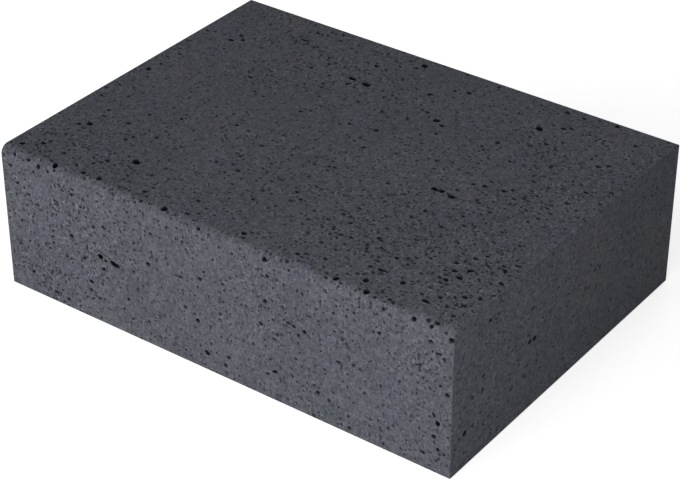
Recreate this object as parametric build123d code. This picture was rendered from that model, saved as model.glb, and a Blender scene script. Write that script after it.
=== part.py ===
from build123d import *
import os

# A precast concrete block step, cast as one solid piece. It lies on its bed face as it is laid
# in a stair. Its front face looks along -Y, and the upper front edge, the nosing, is rounded
# for the foot. All other edges keep the small radius of the mould. Air trapped against the
# mould has left open blowholes in the faces: the largest, single or in pairs, are cut here.
# Frame: origin at the middle of the bed face, +X along the length, +Y to the back, +Z up.

# Driving dimensions, in millimetres
LENGTH = 500.0  # along X, from end face to end face
TREAD_DEPTH = 370.0  # along Y, from front face to back face
RISE = 150.0  # along Z, from bed face to tread
NOSING_RADIUS = 9.0  # the rounded upper front edge
ARRIS_RADIUS = 1.0  # every other edge, as the mould leaves it
BLOWHOLE_LENGTH = 11.0  # the longest blowhole's mouth
BLOWHOLE_WIDTH = 6.0  # the widest blowhole's mouth, twice as wide as it is deep

# Where the blowholes lie. A row gives the place of a mouth's middle along the face's two sides,
# the mouth's length and width as shares of the largest ones, and its turn in degrees. Seen from
# outside, the sides start at the face's lower left corner: the tread's at its left front corner.
TREAD_SHARES = [
    (0.370, 0.797, 0.82, 0.85, -5),
    (0.404, 0.792, 1.00, 0.85, 0),
    (0.731, 0.468, 1.00, 0.95, 5),
    (0.762, 0.466, 0.85, 0.70, -20),
    (0.760, 0.859, 0.85, 0.85, -35),
    (0.238, 0.143, 0.85, 0.95, -28),
    (0.452, 0.965, 0.85, 0.75, -50),
    (0.524, 0.843, 0.75, 0.70, 30),
    (0.588, 0.746, 0.64, 0.75, -10),
    (0.079, 0.210, 0.72, 0.80, 35),
]
FRONT_SHARES = [
    (0.232, 0.487, 0.58, 0.85, 0),
    (0.266, 0.480, 1.00, 0.90, -4),
    (0.630, 0.207, 0.70, 0.70, 20),
    (0.478, 0.127, 0.68, 0.85, -20),
    (0.967, 0.380, 1.00, 0.55, -65),
]
RIGHT_END_SHARES = [
    (0.322, 0.487, 0.50, 0.70, -30),
    (0.346, 0.480, 0.64, 0.85, -12),
    (0.146, 0.880, 0.50, 0.75, -30),
]

# The faces that show blowholes, each with its origin at its lower left corner
TREAD = Plane(origin=(-LENGTH / 2, -TREAD_DEPTH / 2, RISE), x_dir=(1, 0, 0), z_dir=(0, 0, 1))
FRONT = Plane(origin=(-LENGTH / 2, -TREAD_DEPTH / 2, 0), x_dir=(1, 0, 0), z_dir=(0, -1, 0))
RIGHT_END = Plane(origin=(LENGTH / 2, -TREAD_DEPTH / 2, 0), x_dir=(0, 1, 0), z_dir=(1, 0, 0))


def plain_block():
    """The cast body: the section across the step, extruded over its length."""
    with BuildPart() as block:
        with BuildSketch(Plane.YZ) as section:
            Rectangle(TREAD_DEPTH, RISE, align=(Align.CENTER, Align.MIN))
            # In the section's own plane X runs to the back and Y up
            upper_corners = section.vertices().group_by(Axis.Y)[-1]
            fillet(upper_corners.sort_by(Axis.X)[0], NOSING_RADIUS)
        extrude(amount=LENGTH / 2, both=True)
        end_edges = block.faces().filter_by(Axis.X).edges()
        long_edges = block.edges().filter_by(Axis.X)
        bed_edges = long_edges.group_by(Axis.Z)[0]
        upper_back_edge = long_edges.group_by(Axis.Y)[-1].sort_by(Axis.Z)[-1]
        fillet([*end_edges, *bed_edges, upper_back_edge], ARRIS_RADIUS)
    return block.part


def blowhole(length, width):
    """A bubble drawn out along X, half of it below the XY plane, where its mouth is."""
    with BuildPart() as bubble:
        with BuildSketch(Plane.XY):
            Ellipse(length / 2, width / 2)
            split(bisect_by=Plane.XZ, keep=Keep.TOP)
        revolve(axis=Axis.X)
    return bubble.part


def blowholes(face, first_side, second_side, shares):
    """All the bubbles of one face, each in its place and turn."""
    bubbles = []
    for first_share, second_share, length_share, width_share, turn in shares:
        place = Pos(first_side * first_share, second_side * second_share, 0) * Rot(0, 0, turn)
        bubble = blowhole(BLOWHOLE_LENGTH * length_share, BLOWHOLE_WIDTH * width_share)
        bubbles.append(face * place * bubble)
    return bubbles


concrete_block = plain_block() - [
    *blowholes(TREAD, LENGTH, TREAD_DEPTH, TREAD_SHARES),
    *blowholes(FRONT, LENGTH, RISE, FRONT_SHARES),
    *blowholes(RIGHT_END, TREAD_DEPTH, RISE, RIGHT_END_SHARES),
]

os.makedirs("parts", exist_ok=True)
export_step(concrete_block, "parts/concrete_block.step")
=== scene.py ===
import math
import random

import bmesh
import bpy
import numpy as np
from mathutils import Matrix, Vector, kdtree, noise


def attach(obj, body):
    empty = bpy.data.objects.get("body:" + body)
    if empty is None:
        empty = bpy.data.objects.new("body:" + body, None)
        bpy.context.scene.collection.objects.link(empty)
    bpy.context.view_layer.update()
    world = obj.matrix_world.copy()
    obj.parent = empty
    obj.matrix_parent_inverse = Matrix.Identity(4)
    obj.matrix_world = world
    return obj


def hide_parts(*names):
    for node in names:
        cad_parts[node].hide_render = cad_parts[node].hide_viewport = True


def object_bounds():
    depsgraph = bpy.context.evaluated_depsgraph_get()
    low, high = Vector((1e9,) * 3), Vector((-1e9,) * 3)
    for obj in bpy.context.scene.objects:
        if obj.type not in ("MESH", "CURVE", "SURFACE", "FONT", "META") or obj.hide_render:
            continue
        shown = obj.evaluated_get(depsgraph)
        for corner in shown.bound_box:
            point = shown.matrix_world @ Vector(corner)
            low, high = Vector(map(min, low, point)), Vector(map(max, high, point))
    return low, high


# The dressed concrete block step: the CAD block's faces and edges, opened by all its blowholes
# and pores, in a dark, matt, through-coloured concrete. Lengths are in metres.
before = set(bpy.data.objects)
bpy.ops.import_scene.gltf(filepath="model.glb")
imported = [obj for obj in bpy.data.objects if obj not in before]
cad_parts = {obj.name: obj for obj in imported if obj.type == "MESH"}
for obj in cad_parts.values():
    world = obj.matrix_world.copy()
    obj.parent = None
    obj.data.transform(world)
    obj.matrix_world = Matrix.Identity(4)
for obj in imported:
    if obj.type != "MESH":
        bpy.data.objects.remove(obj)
cad_low, cad_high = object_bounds()

MM = 0.001

# Edges, as on the solid
NOSING_RADIUS = 9.0 * MM
NOSING_SEGMENTS = 12
ARRIS_RADIUS = 1.0 * MM
ARRIS_SEGMENTS = 3
QUARTER_CIRCLE = 0.5  # the profile of a bevel that is round
NEARLY = 0.99  # an edge runs along X when at least this share of its length does
JUST_OVER = 1.01  # times a length, to take in what lies at its end
GRID = 25 * MM  # the flat sides are divided into cells of this size
TINY = 1e-9

# Pits seen in the photograph, in millimetres on each face: place from the left edge and from the
# upper edge as the face is seen, mouth length and width, and turn clockwise in degrees. The tread
# counts as far as the upper front edge before it was rounded, and so does the front.
TREAD_PITS = [
    (184.5, 75.5, 8.5, 5.4, 8), (202, 77, 11, 6, 2), (363, 197, 7.5, 5.4, 8),
    (369.5, 196, 7, 5.8, 0), (377, 196.5, 5, 3, 30), (382.5, 198.5, 8.5, 5.6, 8),
    (381, 51, 9, 6, 35), (119.5, 318, 9.5, 6.6, 28), (226, 13, 9, 5.5, 45),
    (263, 57, 6.5, 3.8, -30), (460, 78, 5.5, 3.8, -30), (467.5, 71.5, 5.4, 3.4, -30),
    (39, 291, 7, 5.5, -35), (31, 297, 5.5, 4, -20), (183, 156, 5.5, 3, -30),
    (190, 150, 4, 3, -20), (13, 177, 7, 4.5, 60), (103.3, 131.5, 5.5, 3.5, 10),
    (100, 39, 8, 4, 0), (167, 16.5, 5, 2.6, 0), (172, 17, 5, 2.6, 5),
    (295.5, 94.5, 7.4, 6.2, 10), (305, 100, 5.5, 4, 10), (280, 87, 5, 4, 80),
    (400, 330, 8, 3.5, -10), (396, 337, 4, 4, 0), (398, 350, 6, 5, 40),
    (328.3, 352, 5.4, 3.5, 5), (334, 353.4, 5, 3, 15), (272, 354, 6, 4, 30),
    (276, 359, 5, 4, 0), (460, 287, 6.5, 5, -20), (450, 295, 5.6, 4.6, 0),
    (458.5, 301, 7.4, 4.6, 5), (491.3, 288, 6.4, 3.3, 30), (97, 332, 5.8, 3.2, 10),
    (63.5, 366.5, 5.6, 5.2, 40), (191, 364, 6.4, 5.4, 0), (480, 366.5, 5, 3.6, 10),
    (455, 346, 7, 4, 0), (261, 143, 6.4, 4.1, 25), (272, 108, 4, 3.2, 0),
    (291, 33, 5.4, 4.3, 20), (135, 273, 4.2, 3.2, 0), (12, 217.5, 4, 2.8, 30),
    (114, 196.5, 4, 3, 0), (316.5, 293, 4.5, 3.2, 20), (166.5, 214, 5, 3.4, 0),
    (29, 343, 6, 4, 20), (443.5, 135.5, 4.6, 3.2, 0), (474, 123, 5.4, 3.4, 15),
    (272, 288, 4.5, 3, 20), (187, 87, 4.5, 4, 0), (124, 7, 5, 4, 0), (101, 19, 5, 4, 20),
    (147, 25, 4.5, 4, 0), (42.5, 69, 5.4, 3.8, 10), (49.5, 75, 5.2, 4.6, 0),
    (40, 82, 6.4, 4.4, -25), (8, 80, 5, 4, 0), (149, 65, 4.5, 4, 0), (136.5, 154, 4, 3, 20),
    (216, 109, 4.5, 3.5, 0), (245, 111, 4.5, 4, 0), (171, 107, 4.5, 3.5, 0),
    (16.5, 162.5, 4.5, 3.4, 0), (234, 148, 4.5, 3.1, 20), (163, 84, 4.5, 3.5, 0),
    (308, 6, 5, 4, 0), (387, 10, 5, 5, 0), (405, 10, 5, 4, 0), (437.5, 5, 5.6, 4.6, 0),
    (278, 37, 4.5, 4, 0), (399, 38, 6, 4, 10), (405, 33, 5, 4, 0), (469, 26, 5, 4, 0),
    (309, 115, 4.5, 4, 0), (364, 96, 5, 4, 0), (401, 71, 5, 4, 20), (413, 75, 4.5, 3.5, 0),
    (391, 117, 5, 4, 0), (270, 175, 4.5, 3.5, 0), (296, 136, 3.6, 2.8, 0), (427, 134, 5, 4, 0),
    (470, 148, 5, 4, 20), (396, 166.5, 5.5, 4.2, 15), (386, 170, 4.5, 3.5, 0),
    (414.5, 163.5, 5.6, 4.4, 0), (351, 164, 3.9, 2.9, 0), (151, 212, 4.5, 4, 0),
    (197.5, 201, 4.2, 3, 0), (193, 228, 4.5, 4, 0), (193.5, 269.5, 4.8, 3.2, 10),
    (203, 275, 5, 5, 0), (189, 254, 4.5, 3.5, 0), (68, 269, 5, 4, 0), (41, 272, 4.5, 4, 0),
    (73, 245, 4.5, 4, 0), (85, 293, 5, 4, 10), (97.5, 297.5, 4.6, 3.4, 0), (207, 336, 5, 4, 0),
    (242, 289, 4.5, 4, 0), (31, 336, 4, 3.2, 0), (56, 345, 5, 4, 0), (13.5, 354.5, 5.6, 4.6, 0),
    (79.5, 354, 4.5, 3.3, 20), (159, 352, 5.6, 4.4, 0), (161, 343, 4.2, 3.4, 0),
    (166, 357, 4.5, 3.5, 0), (213, 358, 5, 4, 0), (93.5, 360, 5.4, 4.6, 0),
    (111.5, 359.5, 5.8, 5.4, 0), (324, 213.5, 5, 3.2, 10), (265, 221, 4.5, 4, 0),
    (377, 232, 5, 4, 0), (328.5, 262.5, 4.5, 3.3, 0), (402, 245, 5, 4, 0),
    (451, 310.2, 5.6, 4.2, 30), (453.5, 269.3, 4.6, 4, 60), (467, 272, 4.5, 3.5, 0),
    (483.8, 270.6, 6, 3.2, 35), (488.5, 258, 6, 2.9, 0), (390, 321.5, 3.8, 2.8, 0),
    (425, 335, 5.5, 4.5, 0), (352, 344, 5, 4, 20), (376.5, 362.5, 5.6, 5.4, 0),
    (408, 364, 6, 5, 0), (485, 350, 5, 4, 0), (431, 361.5, 4.5, 3.2, 0), (278, 281, 4.5, 4, 0),
    (268, 273, 4.5, 4, 0), (336, 286, 5, 4, 0), (303, 303, 4.5, 4, 0),
    (350.5, 304.5, 4.5, 3.2, 0), (373.5, 293.5, 4.2, 3.2, 0), (489.3, 316.5, 5.2, 4.4, 0),
    (478, 322.5, 6, 3.8, 20), (484, 333, 5, 4, 0), (380, 186, 4.6, 4.2, 0),
    (403, 190, 4.8, 3.4, 70), (189.5, 77, 3.6, 2.4, 25), (185.5, 52.5, 4, 3.4, 0),
    (180, 58, 3.4, 2.6, 0), (192, 57.5, 4, 3.2, 0), (188.5, 41, 5.6, 4.2, 40),
    (178, 40, 4.8, 3.6, 0), (224.5, 47.5, 4.6, 3, 70), (235, 80, 3.5, 2.2, 30),
    (242, 83, 4.2, 3, 30), (231, 74, 3.6, 2.6, 0), (238, 74, 3.6, 2.6, 30),
    (450, 316, 4.6, 3.8, 0), (443, 299, 5, 3.2, 0), (484, 292.5, 5, 3, 30),
    (473, 294, 3.6, 3.2, 0), (477, 278.5, 4.5, 3.3, -20), (434.6, 325.5, 4, 3.6, 0),
    (472, 327.5, 4, 2.4, 40), (430, 314.5, 4, 3, 10), (436.5, 308.5, 4.4, 3, 40),
    (423, 291, 3.6, 3, 0), (440.5, 269, 4.4, 2.8, 20), (460, 260.5, 5, 3, 0),
    (149.5, 118, 4.2, 2.6, 45), (125, 151.5, 4.2, 2.6, 40), (95.5, 124, 4.8, 1.8, 45),
    (180, 122.5, 4.4, 2.6, 0), (130, 124, 3.2, 1.6, 40), (153.5, 111, 4.8, 1.8, 50),
    (94, 337, 4.4, 3.2, 15), (165.5, 366, 4.4, 3.2, 30), (270, 3.4, 5, 3.6, 0),
    (277, 348.6, 4.4, 3.6, 0), (284, 347.5, 3.4, 2.5, 0), (221, 342, 4.2, 3.3, 0),
    (397.5, 157, 4.5, 3.2, 20), (418, 366.5, 3.8, 2.8, 0), (413, 310.6, 4.4, 2.9, 50),
    (15.8, 77.5, 3.9, 2.6, 30), (479, 335.8, 4.8, 3.6, 15), (368, 366.8, 3.8, 2.7, 20),
    (340, 312, 3.9, 2.5, 40), (412.6, 297.6, 4.5, 3.1, 25), (222.6, 21.6, 4.8, 3.4, 30),
    (441.2, 198.2, 3.8, 2.8, 0), (446.2, 184.2, 3.9, 2.7, 15), (301.8, 224.8, 3.9, 2.7, 30),
    (46, 101, 3.9, 2.4, 30), (457.8, 225.8, 3.4, 2.5, 0),
]
FRONT_PITS = [
    (116, 76.5, 6.8, 5.4, 0), (122.5, 78.5, 4.8, 3.4, 0), (133, 78.5, 11.6, 5.5, 4),
    (239, 131, 6.6, 4.4, 20), (315.5, 119, 6.4, 4, -20), (308, 124, 4.5, 3, -10),
    (396, 143.5, 5, 3.2, 20), (482, 90, 5.5, 3, 62), (486, 97.5, 6, 4.6, 65),
    (301, 73.5, 5.4, 3.8, 0), (331.5, 60.5, 5.2, 3.2, 0), (337, 61.5, 5, 3.5, 0),
    (488, 58, 4.2, 3, 0), (494.5, 64.5, 5, 4.2, 0), (497, 8, 6, 4, 0), (429.5, 5, 4.6, 3.6, 30),
    (305.5, 5, 5.5, 5, 0), (271, 13, 3.8, 2.4, -40), (11, 17, 5.5, 3, 0),
    (31, 41, 5.2, 2.6, 10), (206.5, 61, 5.2, 2.4, 0), (212, 60.5, 5.5, 3, 10),
    (57, 139, 7, 3, 0), (388.5, 54, 3.5, 2.4, 25), (393, 56, 3.6, 2.4, 5), (255, 88, 3, 2, 0),
    (259.5, 49, 4, 2.8, 0), (233, 1, 4.5, 3, 0), (16.5, 2.5, 4, 3, 20), (33, 2.5, 4, 3, 0),
    (46, 6, 5.4, 4.8, 70), (58, 7, 3.5, 3, 0), (65, 2.5, 3.5, 2.8, 0), (40, 14, 3.5, 2.8, 0),
    (42, 49, 5, 3.5, 0), (66.5, 36.5, 3.4, 2.3, 0), (96, 30.5, 4, 3.2, 0),
    (119.5, 89, 5, 4.4, 0), (96, 86, 4.5, 4, 0), (82, 67, 5, 4, 0), (122.5, 43, 5, 4, 0),
    (110, 47, 4.5, 3.5, 0), (174, 62, 5.5, 4.5, 0), (179, 28, 4.5, 3.5, 0),
    (103, 109, 6, 3.5, 0), (102, 118.5, 4.5, 3.5, 0), (116.5, 106, 4.6, 2.6, 10),
    (148, 110, 4, 3.2, 0), (112, 124, 4.5, 3.5, 0), (152, 130.5, 4.4, 2.8, 0),
    (29, 127, 4.5, 4, 0), (72, 141, 5, 3.5, 0), (229.5, 100, 5, 4.4, 0), (216, 91, 4.5, 3.5, 0),
    (234, 54, 5.2, 4, 0), (152, 15.5, 3.6, 2.8, 0), (242.5, 14.5, 3.2, 2.3, 0),
    (309, 21, 4.5, 3.5, 0), (264, 126, 4.5, 4, 0), (260, 136, 4.5, 4, 0), (306, 48, 5, 4.4, 0),
    (319, 78, 4.5, 3.5, 0), (348.5, 62.5, 5, 4, 0), (342, 69, 4.5, 3.5, 0),
    (385, 78.5, 4.8, 3.2, 0), (362, 121, 5, 4, 0), (374, 124, 4, 3.4, 0),
    (361, 33.5, 3, 2.4, 0), (426, 31, 5, 3.6, -20), (459, 2, 5.4, 4, 0),
    (476.5, 2.5, 4.4, 3.4, 0), (477, 18, 5, 4, 0), (486, 27, 4.2, 3.2, 0),
    (482.5, 112.5, 5, 4.6, 0), (487, 124.5, 4.5, 4, 60), (489, 128.5, 3.2, 2.5, 60),
    (411, 99.5, 3.2, 2.2, 0), (472, 134, 5, 3.5, 0), (467.5, 45.5, 4, 3, 0),
    (103.6, 127.2, 3.8, 2.8, -20), (332, 5.2, 3.2, 2.6, 60), (66, 146.2, 3.8, 2.8, -10),
    (102, 39.2, 3.5, 2.6, -10), (53.8, 91.2, 3.4, 2.4, -15), (487.8, 15.8, 3.4, 2.4, -25),
    (85.8, 112, 3.7, 2.7, 0), (380.2, 48.8, 3.7, 2.6, -25), (58.8, 70.5, 3.6, 2.6, -20),
    (58, 77.2, 3.8, 2.8, -20), (379.2, 30.2, 3.7, 2.7, 0), (478.2, 35.2, 3.4, 2.8, 80),
    (238.8, 44.8, 3.7, 2.6, -20), (420.2, 32, 3.4, 2.6, -20), (19.2, 73.8, 3.6, 2.6, -20),
    (431.8, 144, 3.8, 2.8, -10), (392.8, 27.8, 3.8, 2.7, -10),
]
RIGHT_END_PITS = [
    (119.5, 77, 6.2, 4.8, 30), (127.5, 78, 7, 5, 12), (53.5, 17.5, 5.5, 4.5, 30),
    (66, 17.5, 4.2, 3, 0), (20.5, 114, 6.2, 5.6, 50), (32.5, 113.5, 4.5, 4, 0),
    (30.5, 83, 5, 4.2, 0), (46, 83.5, 5, 4, 0), (47, 70, 5.3, 4.3, 0), (112.5, 109, 5, 4, 0),
    (121.5, 43, 5, 4, 0), (75.5, 41.5, 4, 3, 0), (179.5, 130.5, 4.6, 3.4, 40),
    (72, 142, 4.5, 4, 0), (145, 12.5, 3.8, 3, 0), (217.5, 119, 4, 3, 0), (226, 60.5, 5.5, 4, 0),
    (235, 61.5, 4.5, 4, 0), (212, 73, 4.5, 3.5, 0), (193, 126.5, 3, 2.2, 0),
    (12, 114.5, 3, 2.2, 0),
]

# How much longer and wider than listed the seen pits of a face are cut, to show as plainly as in
# the photograph
SEEN_GAIN = {"tread": (1.05, 1.18), "front": (1.0, 1.05), "right_end": (1.0, 1.0)}
SEEN_DEPTH = (0.6, 0.9)  # least and most, as a share of the width

# Large pits on the sides that the photograph hides: how many, their shortest length, mean excess
# and longest length, their width and depth as shares, and the spread of their turns in degrees
LARGE_PITS = {"left_end": 20, "back": 30, "bed": 10}
LARGE_LENGTH = (4.2 * MM, 1.4 * MM, 9.5 * MM)
LARGE_WIDTH = (0.5, 0.85)
LARGE_DEPTH = (0.6, 0.9)
LARGE_TURN_SPREAD = 30

# Chance pits between those: how coarse they and the finest pores are on each face, how many are
# drawn for each 1000 square millimetres of it, and the places where they crowd or thin out, as
# (place, place, reach, gain), in millimetres
COARSENESS = {
    "tread": 1.28, "front": 1.0, "right_end": 0.60, "left_end": 0.95, "back": 0.95, "bed": 0.7,
}
PITS_PER_1000_MM2 = {
    "tread": 7.0, "front": 6.8, "right_end": 2.9, "left_end": 4.5, "back": 5.0, "bed": 1.0,
}
CROWDED = {
    "tread": [
        (440, 275, 105, 1.7), (440, 175, 85, 1.1), (60, 335, 70, 0.6), (170, 60, 80, 0.4),
        (300, 340, 70, 0.4), (300, 115, 80, -0.35), (200, 280, 70, -0.2), (70, 165, 65, -0.35),
    ],
    "front": [
        (45, 75, 80, 0.9), (110, 80, 60, 0.6), (320, 50, 40, 0.6), (470, 20, 45, 0.6),
        (490, 110, 35, 0.3), (195, 120, 70, -0.5), (260, 20, 50, -0.4), (420, 75, 60, -0.5),
    ],
    "right_end": [(55, 85, 80, 0.8), (300, 80, 110, -0.6)],
}
CLUSTER_SIZE = 45 * MM  # how wide the clusters of chance pits are
CLUSTER_SWING = 1.1  # how much more of them the clusters have, and how much less the gaps
CLUSTER_LEAST = 0.15
MOST_CROWDED = 3.0  # the crowding at which each place drawn gets its pit
EDGE_CLEAR = 2.5 * MM  # chance pits keep this far from a face's edges
CHANCE_LENGTH = (2.0 * MM, 0.8 * MM, 3.8 * MM)  # shortest, mean excess and longest
SPARSE_SIZE, CROWD_GROWTH, GROWTH_LIMIT = 0.88, 0.10, 2.2  # pits are larger where they crowd
CHANCE_WIDTH = (0.6, 0.95)  # as a share of the length
CHANCE_DEPTH = (0.3, 0.6)  # as a share of the width
CHANCE_SHADE_SHARE = (0.45, 0.95)  # the share of their painted shade that they get
TURN_MEAN, TURN_SPREAD = 8, 25  # degrees
TURNED_SO = 0.7  # the share of chance pits with such a turn, while the others have any
ANY_TURN = (-90, 90)
PIT_SPACING = 0.4  # the least way between two middles, as a share of both lengths
NEIGHBOURS_WITHIN = 10 * MM  # pits further off than this are never too near
SEED = 41

# How a pit's hollow is built, by the length of its mouth: the number of sides, and its rings from
# above the face to its floor, as (height over depth, size over mouth)
PIT_FORMS = [
    (5.6 * MM, 18, [(0.08, 1.10), (-0.06, 0.99), (-0.35, 1.03), (-0.70, 0.86), (-0.93, 0.45)]),
    (3.6 * MM, 10, [(0.08, 1.07), (-0.20, 0.98), (-0.75, 0.70)]),
    (0.0, 7, [(0.08, 1.04), (-0.60, 0.80)]),
]
# How uneven a hollow is: waves round its mouth with their least and most height, the lean of its
# walls, and the jitter of each point, as shares of its size
LUMP_WAVES = (2, 3, 4, 5)
LUMP_LEAST, LUMP_MOST = 0.02, 0.22
LEAN = 0.12
JITTER = 0.06
# How far a hollow reaches from its middle: a share of its length, and some way to spare
REACH, REACH_CLEAR = 0.7, 0.3 * MM
# How much painted shade darkens the inside of a pit, by the size of its mouth
PIT_PAINTED_SHADE = [
    (2.0 * MM, 0.22), (3.0 * MM, 0.42), (4.0 * MM, 0.64), (5.0 * MM, 0.86), (6.2 * MM, 0.96),
]
SHADE_FULL_FROM = 0.5  # the share of its depth from which a pit's painted shade is full

# Marking the surfaces
SKIN_DEPTH = ARRIS_RADIUS * 0.35  # a face that goes no deeper is part of the block's skin
SQUARE = 0.99999  # a face with such a part of its normal along one axis is flat
WALL_DEPTH = 0.05 * MM  # a point deeper than this belongs to a pit
PITS_LOOKED_AT = 6  # so many of the nearest pits may be the one

# The map that the finest pores are drawn on, with the sides unrolled next to one another
MAP_NAME = "OFBake"
MAP_SIDE = 900 * MM
MAP_GAP = 6 * MM
DRAWN_IN = 0.6  # how far the floor of a pit is drawn in towards its middle
SIDE_WEIGHTS = {  # which side an edge's rounding goes to
    "tread": 1.10, "front": 1.08, "right_end": 1.06, "left_end": 1.04, "back": 1.02, "bed": 1.00,
}

# Camera, matched to the corners of the block in the photograph
CAMERA_AZIMUTH, CAMERA_ELEVATION = 36.327, 32.930
CAMERA_TARGET = Vector((0.02649, -0.03616, 0.075))
CAMERA_DISTANCE = 1.9570
CAMERA_LENS, CAMERA_SENSOR = 113.04, 36.0


class Face:
    """A flat side of the block: its upper left corner as it is seen, its sides and its normal."""

    def __init__(self, corner, across, down, normal):
        low, high = cad_low, cad_high
        self.corner = Vector(
            [high[axis] if side > 0 else low[axis] for axis, side in enumerate(corner)]
        )
        self.across, self.down, self.normal = Vector(across), Vector(down), Vector(normal)
        size = high - low
        self.width = abs(size.dot(self.across))
        self.height = abs(size.dot(self.down))

    def place(self, across, down):
        return self.corner + self.across * across + self.down * down

    def spot(self, across, down):
        """A place on the face as a point, two directions along the surface and its normal. The
        tread's front strip and the front's upper strip meet halfway round the nosing."""
        at = self.place(across, down)
        past_tread = NOSING_RADIUS - (at.y - cad_low.y)
        past_front = NOSING_RADIUS - (cad_high.z - at.z)
        if min(past_tread, past_front) <= 0 or self.across.x == 0:
            return at, self.across, self.down, self.normal
        past = past_tread if self.normal.z > 0 else past_front
        turn = past / NOSING_RADIUS * math.pi / 4
        lean = turn if self.normal.z > 0 else math.pi / 2 - turn
        normal = Vector((0, -math.sin(lean), math.cos(lean)))
        down_along = Vector((0, -math.cos(lean), -math.sin(lean)))
        axis = Vector((at.x, cad_low.y + NOSING_RADIUS, cad_high.z - NOSING_RADIUS))
        return axis + normal * NOSING_RADIUS, self.across, down_along, normal


FACES = {
    "tread": Face((-1, 1, 1), (1, 0, 0), (0, -1, 0), (0, 0, 1)),
    "front": Face((-1, -1, 1), (1, 0, 0), (0, 0, -1), (0, -1, 0)),
    "right_end": Face((1, -1, 1), (0, 1, 0), (0, 0, -1), (1, 0, 0)),
    "left_end": Face((-1, 1, 1), (0, -1, 0), (0, 0, -1), (-1, 0, 0)),
    "back": Face((1, 1, 1), (-1, 0, 0), (0, 0, -1), (0, 1, 0)),
    "bed": Face((-1, -1, -1), (1, 0, 0), (0, 1, 0), (0, 0, -1)),
}


class Pit:
    """One blowhole or pore: its face, its place on it, and its mouth."""

    def __init__(self, side, across, down, length, width, turn, depth, shade_share=1.0):
        self.side, self.length, self.width, self.depth = side, length, width, depth
        self.turn = math.radians(turn)
        self.centre, self.across, self.down, self.normal = FACES[side].spot(across, down)
        self.reach = max(length * REACH, depth) + REACH_CLEAR
        # painted shade for the pit's inside, by the size of its mouth
        self.painted_shade = shade_share * float(np.interp(math.sqrt(length * width), *zip(*PIT_PAINTED_SHADE)))


def seen_pits(rng):
    """The pits that the photograph shows, at their places."""
    pits = []
    for name, rows in (
        ("tread", TREAD_PITS), ("front", FRONT_PITS), ("right_end", RIGHT_END_PITS),
    ):
        longer, wider = SEEN_GAIN[name]
        for across, down, length, width, turn in rows:
            length, width = length * longer * MM, width * wider * MM
            depth = width * rng.uniform(*SEEN_DEPTH)
            pits.append(Pit(name, across * MM, down * MM, length, width, turn, depth))
    return pits


def guessed_pits(rng):
    """The large pits of the sides that the photograph hides, at chance places."""
    shortest, excess, longest = LARGE_LENGTH
    pits = []
    for name, count in LARGE_PITS.items():
        face = FACES[name]
        for _ in range(count):
            length = min(shortest + rng.expovariate(1 / excess), longest)
            across = rng.uniform(length, face.width - length)
            down = rng.uniform(length, face.height - length)
            width = length * rng.uniform(*LARGE_WIDTH)
            depth = width * rng.uniform(*LARGE_DEPTH)
            turn = rng.gauss(0, LARGE_TURN_SPREAD)
            pits.append(Pit(name, across, down, length, width, turn, depth))
    return pits


def tree_of(pits):
    """The pits' middles, sorted for a quick search."""
    tree = kdtree.KDTree(len(pits))
    for number, pit in enumerate(pits):
        tree.insert(pit.centre, number)
    tree.balance()
    return tree


def crowding(name, across, down):
    """How much the chance pits crowd at a place on a face: 1 is as many as usual."""
    gain = 1.0
    for x, y, reach, more in CROWDED.get(name, []):
        away = ((across / MM - x) ** 2 + (down / MM - y) ** 2) / reach**2
        gain += more * math.exp(-away)
    at = FACES[name].place(across, down) / CLUSTER_SIZE
    return gain * max(CLUSTER_LEAST, 1 + CLUSTER_SWING * noise.noise(at))


def crowding_at(point):
    """The crowding at a point of the block, on the face that it lies nearest to."""
    name, face = min(
        FACES.items(), key=lambda item: abs((point - item[1].corner).dot(item[1].normal))
    )
    offset = point - face.corner
    crowd = crowding(name, offset.dot(face.across), offset.dot(face.down))
    return crowd * COARSENESS[name]


def chance_pits(rng, taken):
    """Pits at chance places, clear of those taken and of one another."""
    shortest, excess, longest = CHANCE_LENGTH
    pits = []
    for name, face in FACES.items():
        wanted = round(PITS_PER_1000_MM2[name] * face.width * face.height / (1000 * MM * MM))
        while wanted > 0:
            across = rng.uniform(EDGE_CLEAR, face.width - EDGE_CLEAR)
            down = rng.uniform(EDGE_CLEAR, face.height - EDGE_CLEAR)
            crowd = crowding(name, across, down)
            if rng.uniform(0, MOST_CROWDED) > crowd:
                continue
            wanted -= 1
            length = min(shortest + rng.expovariate(1 / excess), longest)
            length *= COARSENESS[name] * (SPARSE_SIZE + CROWD_GROWTH * min(crowd, GROWTH_LIMIT))
            width = length * rng.uniform(*CHANCE_WIDTH)
            if rng.random() < TURNED_SO:
                turn = rng.gauss(TURN_MEAN, TURN_SPREAD)
            else:
                turn = rng.uniform(*ANY_TURN)
            depth = width * rng.uniform(*CHANCE_DEPTH)
            shade_share = rng.uniform(*CHANCE_SHADE_SHARE)
            pits.append(Pit(name, across, down, length, width, turn, depth, shade_share))
    pits = taken + sorted(pits, key=lambda pit: -pit.length)
    tree = tree_of(pits)
    kept = set(range(len(taken)))
    for number in range(len(taken), len(pits)):
        pit = pits[number]
        if not any(
            other in kept and away < PIT_SPACING * (pit.length + pits[other].length)
            for _, other, away in tree.find_range(pit.centre, NEIGHBOURS_WITHIN)
        ):
            kept.add(number)
    return [pits[number] for number in sorted(kept) if number >= len(taken)]


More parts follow.
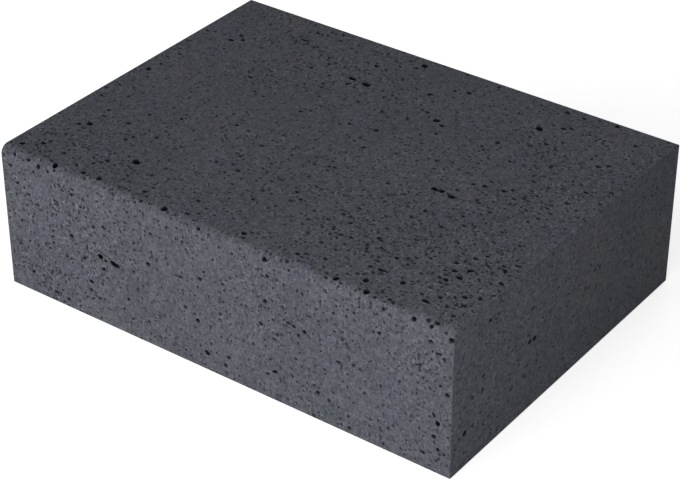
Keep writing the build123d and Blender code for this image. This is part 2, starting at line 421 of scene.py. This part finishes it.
def hollow(pit, rng):
    """The closed form that a pit takes out of the block, as its points and faces."""
    sides, rings = next(
        (sides, rings) for shortest, sides, rings in PIT_FORMS if pit.length >= shortest
    )
    lumps = [
        (waves, rng.uniform(LUMP_LEAST, LUMP_MOST / waves), rng.uniform(0, math.tau))
        for waves in LUMP_WAVES
    ]
    lean = Vector((rng.uniform(-LEAN, LEAN), rng.uniform(-LEAN, LEAN)))
    points, faces = [], []

    def point(angle, size, height):
        wave = 1 + sum(part * math.cos(waves * angle + start) for waves, part, start in lumps)
        along = pit.length / 2 * size * wave * math.cos(angle)
        aside = pit.width / 2 * size * wave * math.sin(angle)
        along += lean.x * height * pit.depth
        aside += lean.y * height * pit.depth
        across = along * math.cos(pit.turn) - aside * math.sin(pit.turn)
        down = along * math.sin(pit.turn) + aside * math.cos(pit.turn)
        offset = pit.across * across + pit.down * down + pit.normal * height * pit.depth
        return pit.centre + offset

    for height, size in rings:
        for side in range(sides):
            angle = math.tau * side / sides
            jitter = 1 + (rng.uniform(-JITTER, JITTER) if height < 0 else 0)
            points.append(point(angle, size * jitter, height))
    for ring in range(len(rings) - 1):
        for side in range(sides):
            following = (side + 1) % sides
            upper, lower = ring * sides, (ring + 1) * sides
            faces.append((upper + side, upper + following, lower + following, lower + side))
    points.append(point(0, 0, -1))
    last = (len(rings) - 1) * sides
    for side in range(sides):
        faces.append((last + side, last + (side + 1) % sides, len(points) - 1))
    faces.append(tuple(reversed(range(sides))))
    return points, faces


def in_groups(pits):
    """The pits sorted into groups in which none touches another."""
    tree, group_of, groups = tree_of(pits), {}, []
    furthest = max(pit.reach for pit in pits)
    for number, pit in enumerate(pits):
        near = {
            group_of[other]
            for _, other, away in tree.find_range(pit.centre, pit.reach + furthest)
            if other in group_of and away < pit.reach + pits[other].reach
        }
        group = min(set(range(len(groups) + 1)) - near)
        if group == len(groups):
            groups.append([])
        groups[group].append(pit)
        group_of[number] = group
    return groups


def new_object(name, data):
    """An object of a mesh, lamp or camera, in the scene."""
    thing = bpy.data.objects.new(name, data)
    bpy.context.scene.collection.objects.link(thing)
    return thing


def cutter(name, pits, rng):
    """One object that holds the hollows of a group of pits."""
    points, faces = [], []
    for pit in pits:
        own_points, own_faces = hollow(pit, rng)
        faces += [tuple(index + len(points) for index in face) for face in own_faces]
        points += own_points
    mesh = bpy.data.meshes.new(name)
    mesh.from_pydata(points, [], faces)
    model = bmesh.new()
    model.from_mesh(mesh)
    bmesh.ops.recalc_face_normals(model, faces=model.faces)
    model.to_mesh(mesh)
    model.free()
    return new_object(name, mesh)


def plain_block():
    """The block without its pits: rounded edges, and flat sides divided into cells."""
    model = bmesh.new()
    bmesh.ops.create_cube(model, size=1.0)
    size, middle = cad_high - cad_low, (cad_high + cad_low) / 2
    for vertex in model.verts:
        vertex.co = Vector(part * whole for part, whole in zip(vertex.co, size)) + middle

    def runs_along_x(edge):
        return abs((edge.verts[0].co - edge.verts[1].co).normalized().x) > NEARLY

    def at_nosing(edge):
        spot = (edge.verts[0].co + edge.verts[1].co) / 2
        within = NOSING_RADIUS * JUST_OVER
        return spot.y < cad_low.y + within and spot.z > cad_high.z - within

    nosing = [edge for edge in model.edges if runs_along_x(edge) and at_nosing(edge)]
    bmesh.ops.bevel(
        model, geom=nosing, offset=NOSING_RADIUS, offset_type="OFFSET", profile=QUARTER_CIRCLE,
        segments=NOSING_SEGMENTS, affect="EDGES",
    )
    arrises = [edge for edge in model.edges if not (runs_along_x(edge) and at_nosing(edge))]
    bmesh.ops.bevel(
        model, geom=arrises, offset=ARRIS_RADIUS, offset_type="OFFSET", profile=QUARTER_CIRCLE,
        segments=ARRIS_SEGMENTS, affect="EDGES",
    )
    for axis in range(3):
        normal = Vector([1.0 if axis == other else 0.0 for other in range(3)])
        cells = round(size[axis] / GRID)
        for cell in range(1, cells):
            place = Vector(cad_low)
            place[axis] += size[axis] * cell / cells
            geometry = model.verts[:] + model.edges[:] + model.faces[:]
            bmesh.ops.bisect_plane(model, geom=geometry, plane_co=place, plane_no=normal)
    mesh = bpy.data.meshes.new("concrete_block_cast")
    model.to_mesh(mesh)
    model.free()
    return new_object("concrete_block_cast", mesh)


def depth_below_faces(points):
    """How far each point lies inside the block's faces and its rounded nosing."""
    low, high = np.array(cad_low), np.array(cad_high)
    depth = np.minimum(points - low, high - points).min(axis=1)
    from_axis_y = low[1] + NOSING_RADIUS - points[:, 1]
    from_axis_z = points[:, 2] - (high[2] - NOSING_RADIUS)
    below_nosing = NOSING_RADIUS - np.hypot(from_axis_y, from_axis_z)
    at_nosing = (from_axis_y > 0) & (from_axis_z > 0)
    return np.where(at_nosing, np.minimum(below_nosing, depth), depth)


def skin_normals(points):
    """The normals of the rounded block at points on its skin: they point away from the nearest
    points of a core that is smaller all round by the small radius."""
    low, high = np.array(cad_low) + ARRIS_RADIUS, np.array(cad_high) - ARRIS_RADIUS
    core = points.clip(low, high)
    axis = np.array([cad_low.y + NOSING_RADIUS, cad_high.z - NOSING_RADIUS])
    arm = points[:, 1:] - axis
    at_nosing = (arm[:, 0] < 0) & (arm[:, 1] > 0)
    reach = np.hypot(*arm[at_nosing].T)[:, None]
    core[at_nosing, 1:] = axis + arm[at_nosing] / reach * (NOSING_RADIUS - ARRIS_RADIUS)
    away = points - core
    return away / np.linalg.norm(away, axis=1, keepdims=True).clip(TINY)


def cut_pits(block, groups, rng):
    """Takes every group's hollows out of the block, one group after another."""
    cutters = [cutter(f"hollows_{number}", group, rng) for number, group in enumerate(groups)]
    for tool in cutters:
        cut = block.modifiers.new(tool.name, "BOOLEAN")
        cut.operation, cut.solver, cut.object = "DIFFERENCE", "MANIFOLD", tool
    evaluated = block.evaluated_get(bpy.context.evaluated_depsgraph_get())
    mesh = bpy.data.meshes.new_from_object(evaluated)
    block.modifiers.clear()
    block.data = mesh
    for tool in cutters:
        bpy.data.objects.remove(tool)


def drop_crumbs(mesh):
    """Removes what the hollows leave standing loose between them: every part but the largest."""
    model = bmesh.new()
    model.from_mesh(mesh)
    parts, left = [], set(model.verts)
    while left:
        part, front = [], [left.pop()]
        while front:
            vertex = front.pop()
            part.append(vertex)
            near = {edge.other_vert(vertex) for edge in vertex.link_edges} & left
            left -= near
            front += near
        parts.append(part)
    parts.sort(key=len)
    crumbs = [vertex for part in parts[:-1] for vertex in part]
    bmesh.ops.delete(model, geom=crumbs, context="VERTS")
    model.to_mesh(mesh)
    model.free()


def along_strip(points):
    """How far points lie from the back edge, over the tread, round the nosing and down."""
    behind = points[:, 1] - (cad_low.y + NOSING_RADIUS)
    below = (cad_high.z - NOSING_RADIUS) - points[:, 2]
    lean = np.arctan2((-behind).clip(0), (-below).clip(TINY))
    flat = cad_high.y - cad_low.y - NOSING_RADIUS
    return flat - behind.clip(0) + NOSING_RADIUS * lean + below.clip(0)


def on_map(side, points):
    """Where points of a side lie on the map, in metres. The ends and the back stand upright."""
    face = FACES[side]
    offset = points - np.array(face.corner)
    across, down = offset @ np.array(face.across), offset @ np.array(face.down)
    length, depth, rise = cad_high - cad_low
    strip = depth + rise + (math.pi / 2 - 2) * NOSING_RADIUS
    upright = length + 2 * MAP_GAP
    if side in ("tread", "front"):
        place = across + MAP_GAP, along_strip(points) + MAP_GAP
    elif side == "bed":
        place = across + MAP_GAP, down + strip + 2 * MAP_GAP
    elif side == "left_end":
        place = down + upright, across + MAP_GAP
    elif side == "right_end":
        place = down + upright, across + depth + 2 * MAP_GAP
    else:
        place = down + upright + rise + MAP_GAP, across + MAP_GAP
    return np.stack(place, axis=1)


def smooth_step(values, low, high):
    """A soft rise from 0 at low to 1 at high."""
    share = ((values - low) / (high - low)).clip(0, 1)
    return share * share * (3 - 2 * share)


def read(items, name, kind, width=1):
    """One property of all the items of a mesh, as an array."""
    values = np.empty(len(items) * width, dtype=kind)
    items.foreach_get(name, values)
    return values.reshape(-1, width) if width > 1 else values


def store(mesh, name, values):
    """Keeps one number for each point of a mesh, for the finish to read."""
    mesh.attributes.new(name, "FLOAT", "POINT").data.foreach_set(
        "value", np.asarray(values, dtype=np.float32)
    )


FLAT, ROUNDED, PIT = 0, 1, 2  # the kinds of surface


def mark_surfaces(mesh, pits):
    """Keeps the flat sides flat and the rest smooth, with a sharp rim around each pit, stores what
    the finish needs to know of each point, and lays the sides out on the map."""
    points = read(mesh.vertices, "co", np.float64, 3)
    vertex = read(mesh.loops, "vertex_index", np.int64)
    edge = read(mesh.loops, "edge_index", np.int64)
    first = read(mesh.polygons, "loop_start", np.int64)
    count = read(mesh.polygons, "loop_total", np.int64)
    normals = read(mesh.polygons, "normal", np.float64, 3)
    polygon = np.repeat(np.arange(len(first)), count)

    # The pit that each point below the faces belongs to, and how far down in it the point is
    depth = depth_below_faces(points).clip(0)
    tree = tree_of(pits)
    owner = np.zeros(len(points), dtype=np.int64)
    for number in np.flatnonzero(depth > WALL_DEPTH):
        found = tree.find_n(points[number], PITS_LOOKED_AT)
        owner[number] = min(found, key=lambda near: near[2] / pits[near[1]].reach)[1]
    share = (depth / np.array([pit.depth for pit in pits])[owner]).clip(0, 1)
    painted_shade = np.array([pit.painted_shade for pit in pits])[owner]
    # painted shade: the inside of each pit is darkened in colour with its depth
    store(mesh, "pit_shade", painted_shade * smooth_step(share, 0.0, SHADE_FULL_FROM))
    store(mesh, "crowding", [crowding_at(Vector(point)) for point in points])

    # The kind of each face, the sharp edges between kinds, and the normals of the plain block
    deepest = np.maximum.reduceat(depth[vertex], first)
    squarely = np.abs(normals).max(axis=1) > SQUARE
    on_skin = deepest < SKIN_DEPTH
    kind = np.where(on_skin, np.where(squarely, FLAT, ROUNDED), PIT)
    mesh.polygons.foreach_set("use_smooth", kind != FLAT)
    lowest = np.full(len(mesh.edges), PIT)
    highest = np.full(len(mesh.edges), FLAT)
    np.minimum.at(lowest, edge, kind[polygon])
    np.maximum.at(highest, edge, kind[polygon])
    sharp = mesh.attributes.new("sharp_edge", "BOOLEAN", "EDGE")
    sharp.data.foreach_set("value", lowest != highest)
    corners = np.zeros((len(vertex), 3))  # zero leaves a corner's normal as it is
    rounded, flat = kind[polygon] == ROUNDED, kind[polygon] == FLAT
    corners[rounded] = skin_normals(points[vertex[rounded]])
    corners[flat] = normals[polygon[flat]]
    mesh.normals_split_custom_set(corners.tolist())

    # The map: a pit's walls are drawn in towards its middle, so that they have width there
    names = list(FACES)
    facing = np.stack([normals @ np.array(FACES[name].normal) for name in names], axis=1)
    side = (facing * [SIDE_WEIGHTS[name] for name in names]).argmax(axis=1)
    at_bottom = np.lexsort((depth[vertex], polygon))[first + count - 1]
    pit_of = owner[vertex[at_bottom]]
    sides_of_pits = np.array([names.index(pit.side) for pit in pits])
    side = np.where(kind == PIT, sides_of_pits[pit_of], side)
    middles = np.array([pit.centre for pit in pits])
    places = np.zeros((len(vertex), 2))
    for number, name in enumerate(names):
        for inside in (False, True):
            chosen = (side[polygon] == number) & ((kind[polygon] == PIT) == inside)
            place = on_map(name, points[vertex[chosen]])
            if inside:
                middle = on_map(name, middles[pit_of[polygon[chosen]]])
                drawn_in = 1 - DRAWN_IN * share[vertex[chosen], None]
                place = middle + (place - middle) * drawn_in
            places[chosen] = place
    layer = mesh.uv_layers.new(name=MAP_NAME)
    layer.data.foreach_set("uv", (places / MAP_SIDE).astype(np.float32).ravel())


class Nodes:
    """A short way to write a node tree: each call adds one node."""

    def __init__(self, tree):
        self.tree = tree
        tree.nodes.clear()

    def add(self, kind, inputs=None, **settings):
        node = self.tree.nodes.new(kind)
        for name, value in settings.items():
            setattr(node, name, value)
        for name, value in (inputs or {}).items():
            if isinstance(value, bpy.types.NodeSocket):
                self.tree.links.new(value, node.inputs[name])
            else:
                node.inputs[name].default_value = value
        return node

    def math(self, operation, first, second=0.0, third=0.0):
        inputs = {0: first, 1: second, 2: third}
        return self.add("ShaderNodeMath", inputs, operation=operation).outputs[0]

    def ramp(self, value, low, high, to_low=0.0, to_high=1.0):
        """A smooth step from to_low at low to to_high at high."""
        inputs = {"Value": value, 1: low, 2: high, 3: to_low, 4: to_high}
        step = self.add("ShaderNodeMapRange", inputs, interpolation_type="SMOOTHSTEP")
        return step.outputs[0]


def linear(red, green, blue):
    """A colour written in 0 to 255 as displayed, as the renderer's own linear values."""

    def one(value):  # by the numbers of the sRGB curve
        part = value / 255
        return part / 12.92 if part <= 0.04045 else ((part + 0.055) / 1.055) ** 2.4

    return (one(red), one(green), one(blue), 1.0)


# The paste's greys: the usual one, the bluish grey of painted shade that is seen deep in pits and
# pores, with the tones between which it gives way to the others, and the patches of other greys,
# each with its size and the cloud values at which it starts and is full
PLAIN = linear(84.5, 85.7, 92.3)
SHADE_TINT, SHADE_TINT_TONES = linear(82.6, 85.9, 99.0), (0.35, 1.0)
PATCHES = [
    (linear(83.8, 86.0, 92.1), 70 * MM, 0.52, 0.66),  # greenish
    (linear(85.1, 85.6, 92.1), 55 * MM, 0.52, 0.66),  # reddish
    (linear(84.8, 85.5, 94.8), 42 * MM, 0.55, 0.70),  # bluish
]

# Clouds in the paste: size, detail and roughness
BROAD_CLOUD = (60 * MM, 3.0, 0.5)
LUMP_CLOUD = (7.5 * MM, 1.0, 0.5)
SAND_CLOUD = (4.0 * MM, 1.5, 0.6)
DRIFT_CLOUD = (4.5 * MM, 1.5, 0.5)
DRIFT = 3.6 * MM  # how far that one shifts the outlines of pores and grains

# Pores: the size of their cells, their least and largest radius in cells, and the share of cells
# that have one where pits crowd. That share grows over PORE_CROWDING, from this part of it.
COARSE_PORES = (6.0 * MM, 0.17, 0.33, 0.85)
FINE_PORES = (3.3 * MM, 0.18, 0.37, 0.80)
PORE_CROWDING, SPARSE_PORES = (0.2, 2.6), 0.5
FAINTEST_PORE = 0.2  # how much of its painted shade and of its painted rim highlight the faintest pore has
PORE_EDGE, RIM_RISE, RIM_FALL = (0.35, 1.15), (0.9, 1.2), (1.2, 2.0)  # in radii of the pore
RIM_BREAKS = (0.45, 0.62)  # sand cloud values between which a pore's painted rim highlight appears
GRAIN_SIZE, GRAIN_EDGE = 2.1 * MM, (0.25, 0.62)
PALE_GRAINS = 0.1  # the share of grains that are pale
MIDDLE = 0.5  # of a cloud or a chance number

# What each of them does to the tone: factors from one cloud value to another, strengths from one
# crowding to another, how much painted shade darkens the pores and how much painted highlight
# pales their rims
BROAD_TONES = (0.30, 0.70, 0.95, 1.05)
LUMP_TONES = (0.34, 0.66, 0.94, 1.06)
SAND_TONES = (0.34, 0.66, 0.875, 1.14)
GRAIN_STRENGTHS = (0.2, 1.6, 0.52, 0.64)
PALE_STRENGTHS = (0.3, 2.0, 0.12, 0.45)
COARSE_PORE_SHADE, FINE_PORE_SHADE = 0.78, 0.46
COARSE_RIM_HIGHLIGHT, FINE_RIM_HIGHLIGHT = 0.38, 0.20

# Relief and gloss
RELIEF = 0.9 * MM
GRAIN_RELIEF, SAND_RELIEF, COARSE_RELIEF, FINE_RELIEF = 0.4, 0.5, -1.0, -0.4
ROUGHNESS = (0.3, 0.7, 0.84, 0.96)  # over the sand cloud
SPECULAR = 0.08

MIX_SOCKETS, MIX_RESULT = (0, 6, 7), 2  # the mix node's sockets for factor and colours


def concrete_material():
    """The dark grey concrete: paste with patches, lumps, sand grains and the finest pores."""
    material = bpy.data.materials.new("concrete")
    material.use_nodes = True
    nodes = Nodes(material.node_tree)
    solid = nodes.add("ShaderNodeTexCoord").outputs["Object"]
    drawn = nodes.add("ShaderNodeUVMap", uv_map=MAP_NAME).outputs[0]

    def vector(operation, first, second):
        name = "Scale" if operation == "SCALE" else 1
        inputs = {0: first, name: second}
        return nodes.add("ShaderNodeVectorMath", inputs, operation=operation).outputs[0]

    def stored(name):
        node = nodes.add(
            "ShaderNodeAttribute", attribute_type="GEOMETRY", attribute_name=name
        )
        return node.outputs["Fac"]

    def blend(share, first, second):
        inputs = dict(zip(MIX_SOCKETS, (share, first, second)))
        return nodes.add("ShaderNodeMix", inputs, data_type="RGBA").outputs[MIX_RESULT]

    def cloud(size, detail=2.0, roughness=0.5, output="Fac"):
        inputs = {"Vector": solid, "Scale": 1 / size, "Detail": detail, "Roughness": roughness}
        return nodes.add("ShaderNodeTexNoise", inputs).outputs[output]

    # The finest pores and grains, on the map in metres, with uneven outlines
    drift = vector("SUBTRACT", cloud(*DRIFT_CLOUD, output="Color"), (MIDDLE, MIDDLE, MIDDLE))
    uneven = vector("SCALE", drawn, MAP_SIDE)
    uneven = vector("ADD", uneven, vector("SCALE", drift, DRIFT))
    crowd = stored("crowding")

    def cells(size):
        """Cells of this size: how far it is to their middles, and three chance numbers each."""
        split = nodes.add(
            "ShaderNodeTexVoronoi", {"Vector": uneven, "Scale": 1 / size}, voronoi_dimensions="2D"
        )
        chances = nodes.add("ShaderNodeSeparateColor", {"Color": split.outputs["Color"]})
        return split.outputs["Distance"], chances.outputs

    def pores(size, smallest, largest, share):
        """Pores in cells of this size, with radii in cells: their hollows and their pale rims."""
        distance, chances = cells(size)
        limit = nodes.ramp(crowd, *PORE_CROWDING, 1 - share * SPARSE_PORES, 1 - share)
        there = nodes.math("GREATER_THAN", chances[0], limit)
        radius = nodes.math("MULTIPLY_ADD", chances[1], largest - smallest, smallest)
        away = nodes.math("DIVIDE", distance, radius)
        depth = nodes.math("MULTIPLY_ADD", chances[2], 1 - FAINTEST_PORE, FAINTEST_PORE)
        weight = nodes.math("MULTIPLY", there, depth)
        # the hollow, which is darkened in the tone as painted shade
        hole = nodes.math("MULTIPLY", nodes.ramp(away, *PORE_EDGE, 1, 0), weight)
        # the rim: a painted highlight where light would catch the pore's lip
        rise, fall = nodes.ramp(away, *RIM_RISE), nodes.ramp(away, *RIM_FALL, 1, 0)
        return hole, nodes.math("MULTIPLY", nodes.math("MULTIPLY", rise, fall), weight)

    coarse, coarse_rim_highlight = pores(*COARSE_PORES)
    fine, fine_rim_highlight = pores(*FINE_PORES)
    grain_distance, grain_chances = cells(GRAIN_SIZE)
    grain_body = nodes.ramp(grain_distance, *GRAIN_EDGE, 1, 0)
    grains = nodes.math("MULTIPLY", nodes.math("SUBTRACT", grain_chances[1], MIDDLE), grain_body)
    is_pale = nodes.math("GREATER_THAN", grain_chances[2], 1 - PALE_GRAINS)
    pale = nodes.math("MULTIPLY", is_pale, grain_body)

    # Colour of the paste: soft patches of other greys in the usual one
    paste = PLAIN
    for colour, size, low, high in PATCHES:
        paste = blend(nodes.ramp(cloud(size), low, high), paste, colour)

    # Tone: broad clouds, lumps, sand, grains, pores in painted shade with painted rim highlights,
    # and painted shade inside the pits
    sand = cloud(*SAND_CLOUD)
    broken = nodes.ramp(sand, *RIM_BREAKS)
    tone = nodes.ramp(cloud(*BROAD_CLOUD), *BROAD_TONES)
    for factor in (
        nodes.ramp(cloud(*LUMP_CLOUD), *LUMP_TONES),
        nodes.ramp(sand, *SAND_TONES),
        nodes.math("MULTIPLY_ADD", grains, nodes.ramp(crowd, *GRAIN_STRENGTHS), 1.0),
        nodes.math("MULTIPLY_ADD", pale, nodes.ramp(crowd, *PALE_STRENGTHS), 1.0),
        # painted shade darkens the pores
        nodes.math("MULTIPLY_ADD", coarse, -COARSE_PORE_SHADE, 1.0),
        nodes.math("MULTIPLY_ADD", fine, -FINE_PORE_SHADE, 1.0),
        # painted highlights pale the pores' rims
        nodes.math(
            "MULTIPLY_ADD", nodes.math("MULTIPLY", coarse_rim_highlight, broken), COARSE_RIM_HIGHLIGHT, 1.0
        ),
        nodes.math("MULTIPLY_ADD", nodes.math("MULTIPLY", fine_rim_highlight, broken), FINE_RIM_HIGHLIGHT, 1.0),
        # painted shade inside the pits
        nodes.math("SUBTRACT", 1.0, stored("pit_shade")),
    ):
        tone = nodes.math("MULTIPLY", tone, factor)
    # painted shade: where the tone is dark, the paste turns to the bluish grey of shade
    paste = blend(nodes.ramp(tone, *SHADE_TINT_TONES, 1, 0), paste, SHADE_TINT)
    shaded = vector("SCALE", paste, tone)

    # Relief too fine for the mesh
    height = nodes.math("MULTIPLY", sand, SAND_RELIEF)
    for form, share in (
        (grains, GRAIN_RELIEF), (coarse, COARSE_RELIEF), (fine, FINE_RELIEF),
    ):
        height = nodes.math("MULTIPLY_ADD", form, share, height)
    relief = nodes.add(
        "ShaderNodeBump", {"Strength": 1.0, "Distance": RELIEF, "Height": height}
    ).outputs[0]

    surface = nodes.add(
        "ShaderNodeBsdfPrincipled",
        {
            "Base Color": shaded, "Roughness": nodes.ramp(sand, *ROUGHNESS),
            "Specular IOR Level": SPECULAR, "Normal": relief,
        },
    )
    nodes.add("ShaderNodeOutputMaterial", {"Surface": surface.outputs[0]})
    return material


# Stage: white all round for what looks at it, and a plain level of light for the object
WORLD_LIGHT = 0.22
FLOOR_ALBEDO = 0.90
FLOOR_LIFT = 0.66  # added where the floor is looked at, so that only the shadow stays grey
FLOOR_SIZE = 12.0
# Square soft lamps, aimed at the block: watts, azimuth, elevation, distance and side
LAMPS = {
    "key": (173.0, -40.0, 8.0, 4.0, 2.1),
    "back": (36.0, 195.0, 6.0, 4.0, 2.1),
    "fill": (0.97, 58.0, 8.0, 0.95, 0.3),
    "over": (2.2, 25.0, 50.0, 1.0, 0.5),
}


def looked_at(nodes):
    """1 for a ray that shows the stage, straight or through gloss and glass, else 0."""
    path = nodes.add("ShaderNodeLightPath").outputs
    rays = nodes.math("MAXIMUM", path["Is Camera Ray"], path["Is Glossy Ray"])
    return nodes.math("MAXIMUM", rays, path["Is Transmission Ray"])


def make_floor():
    """The pale floor, which shows the object's shadow."""
    half = FLOOR_SIZE / 2
    mesh = bpy.data.meshes.new("floor")
    corners = [(-half, -half), (half, -half), (half, half), (-half, half)]
    mesh.from_pydata([(x, y, cad_low.z) for x, y in corners], [], [(0, 1, 2, 3)])
    floor = new_object("floor", mesh)
    material = bpy.data.materials.new("floor")
    material.use_nodes = True
    nodes = Nodes(material.node_tree)
    pale = (FLOOR_ALBEDO, FLOOR_ALBEDO, FLOOR_ALBEDO, 1.0)
    plain = nodes.add("ShaderNodeBsdfDiffuse", {"Color": pale}).outputs[0]
    strength = nodes.math("MULTIPLY", looked_at(nodes), FLOOR_LIFT)
    lift = nodes.add("ShaderNodeEmission", {"Strength": strength}).outputs[0]
    both = nodes.add("ShaderNodeAddShader", {0: plain, 1: lift}).outputs[0]
    nodes.add("ShaderNodeOutputMaterial", {"Surface": both})
    mesh.materials.append(material)


def make_world():
    """White where it is looked at, and a low level of light from all round."""
    world = bpy.data.worlds.new("studio")
    world.use_nodes = True
    nodes = Nodes(world.node_tree)
    strength = nodes.math("MULTIPLY_ADD", looked_at(nodes), 1 - WORLD_LIGHT, WORLD_LIGHT)
    background = nodes.add("ShaderNodeBackground", {"Color": (1, 1, 1, 1), "Strength": strength})
    nodes.add("ShaderNodeOutputWorld", {"Surface": background.outputs[0]})
    bpy.context.scene.world = world


def direction(azimuth, elevation):
    """From the object towards a viewer or lamp: azimuth 0 is in front of it, 90 at its right."""
    around, up = math.radians(azimuth), math.radians(elevation)
    return Vector(
        (math.sin(around) * math.cos(up), -math.cos(around) * math.cos(up), math.sin(up))
    )


def make_lamps():
    """The soft lamps, each turned to the middle of the block."""
    middle = (cad_low + cad_high) / 2
    for name, (watts, azimuth, elevation, distance, side) in LAMPS.items():
        lamp = bpy.data.lights.new(name, "AREA")
        lamp.energy, lamp.size = watts, side
        holder = new_object(name, lamp)
        towards = direction(azimuth, elevation)
        holder.location = middle + towards * distance
        holder.rotation_euler = towards.to_track_quat("Z", "Y").to_euler()
        holder.visible_camera = False


def make_camera():
    """The photograph's point of view."""
    lens = bpy.data.cameras.new("camera")
    lens.sensor_fit, lens.sensor_width, lens.lens = "HORIZONTAL", CAMERA_SENSOR, CAMERA_LENS
    camera = new_object("camera", lens)
    back = direction(CAMERA_AZIMUTH, CAMERA_ELEVATION)
    camera.location = CAMERA_TARGET + back * CAMERA_DISTANCE
    camera.rotation_euler = back.to_track_quat("Z", "Y").to_euler()
    bpy.context.scene.camera = camera


rng = random.Random(SEED)
pits = seen_pits(rng)
pits += guessed_pits(random.Random(SEED + 1))
pits += chance_pits(rng, pits)
block = plain_block()
cut_pits(block, in_groups(pits), rng)
drop_crumbs(block.data)
mark_surfaces(block.data, pits)
block.data.materials.clear()
block.data.materials.append(concrete_material())
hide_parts("concrete_block")
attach(block, "root")

make_floor()
make_world()
make_lamps()
make_camera()
bpy.context.scene.view_settings.view_transform = "Standard"
